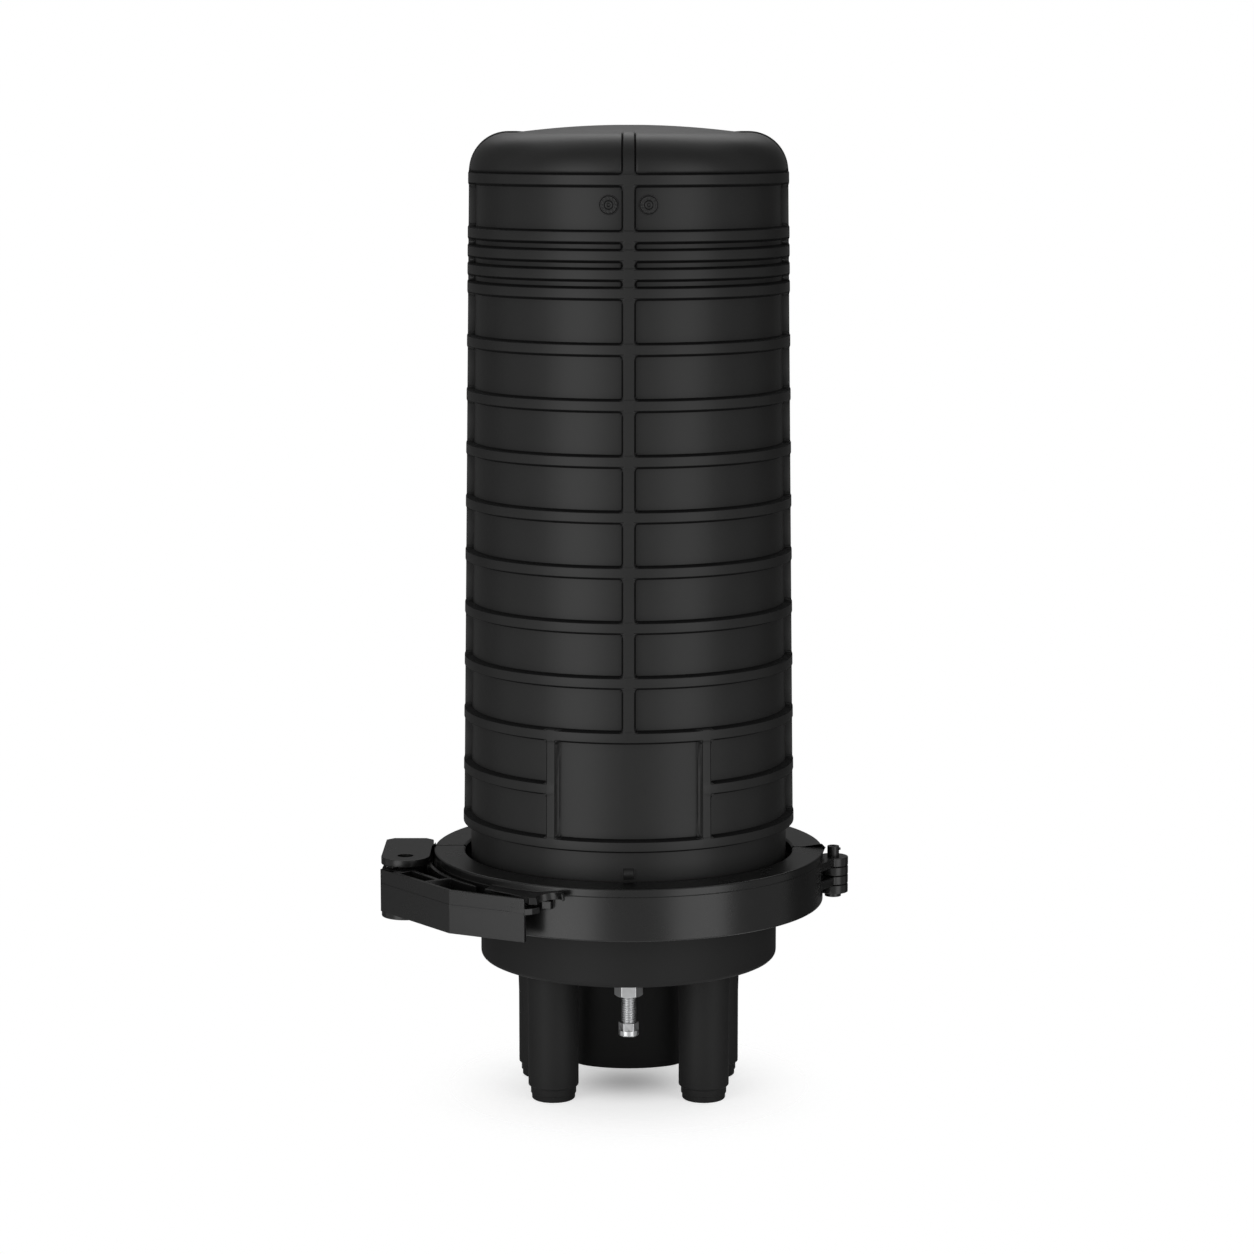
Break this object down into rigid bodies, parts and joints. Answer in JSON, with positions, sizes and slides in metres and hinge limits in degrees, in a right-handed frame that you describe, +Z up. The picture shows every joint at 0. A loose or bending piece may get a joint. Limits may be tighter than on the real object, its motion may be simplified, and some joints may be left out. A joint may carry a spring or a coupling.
{
  "type": "dome splice closure",
  "caption": "Upright ribbed dome on a round base with cable ports, held by a hinged two-part clamp ring with a lever latch; a stack of splice trays stands inside.",
  "frame": {"origin": "on the dome's axis, in the plane that the ports stand on", "axes": "+Z up along the dome's axis, -Y towards the earth stud and the label recess, -X towards the latch, +X towards the hinge"},
  "size_m": [0.2481, 0.2103, 0.5118],
  "materials": {
    "dome_plastic": "satin",
    "clamp_plastic": "satin",
    "seal_rubber": "matte",
    "steel": "zinc plated",
    "inner_plastic": "satin",
    "tray_plastic": "satin",
    "holder_plastic": "satin",
    "strap_fabric": "woven"
  },
  "bodies": {
    "closure": {"dome": "dome_plastic", "base": "dome_plastic", "seal_ring": "seal_rubber", "clamp_rear_half": "clamp_plastic", "hinge_pin": "clamp_plastic", "lever_pin": "clamp_plastic", "earth_stud": "steel", "earth_washer": "steel", "earth_nut": "steel", "earth_cap_nut": "steel", "earth_inner_nut": "steel", "bracket_plate": "steel", "bracket_bolts": "steel", "tray_frame": "steel", "slack_basket": "inner_plastic", "tray_hinge_block": "inner_plastic", "splice_tray_1": "tray_plastic", "splice_tray_2": "tray_plastic", "splice_tray_3": "tray_plastic", "splice_tray_4": "tray_plastic", "splice_holder_1": "holder_plastic", "splice_holder_2": "holder_plastic", "splice_holder_3": "holder_plastic", "splice_holder_4": "holder_plastic", "tray_cover": "tray_plastic", "tray_strap": "strap_fabric", "strength_clamps": "steel", "clamp_screws": "steel"},
    "front_clamp": {"clamp_front_half": "clamp_plastic"},
    "lever": {"latch_lever": "clamp_plastic"}
  },
  "joints": [
    {"name": "clamp_opening", "type": "hinge", "parent": "closure", "child": "front_clamp", "pos_m": [0.1094, 0, 0.1163], "axis": [0, 0, 1], "range_deg": [0, 45]},
    {"name": "lever_turn", "type": "hinge", "parent": "closure", "child": "lever", "pos_m": [-0.11787, -0.0225, 0.1138], "axis": [0, 0, 1], "range_deg": [-135, 0]}
  ],
  "couplings": [
    {"joint": "lever_turn", "follows": "clamp_opening", "ratio": -3}
  ]
}
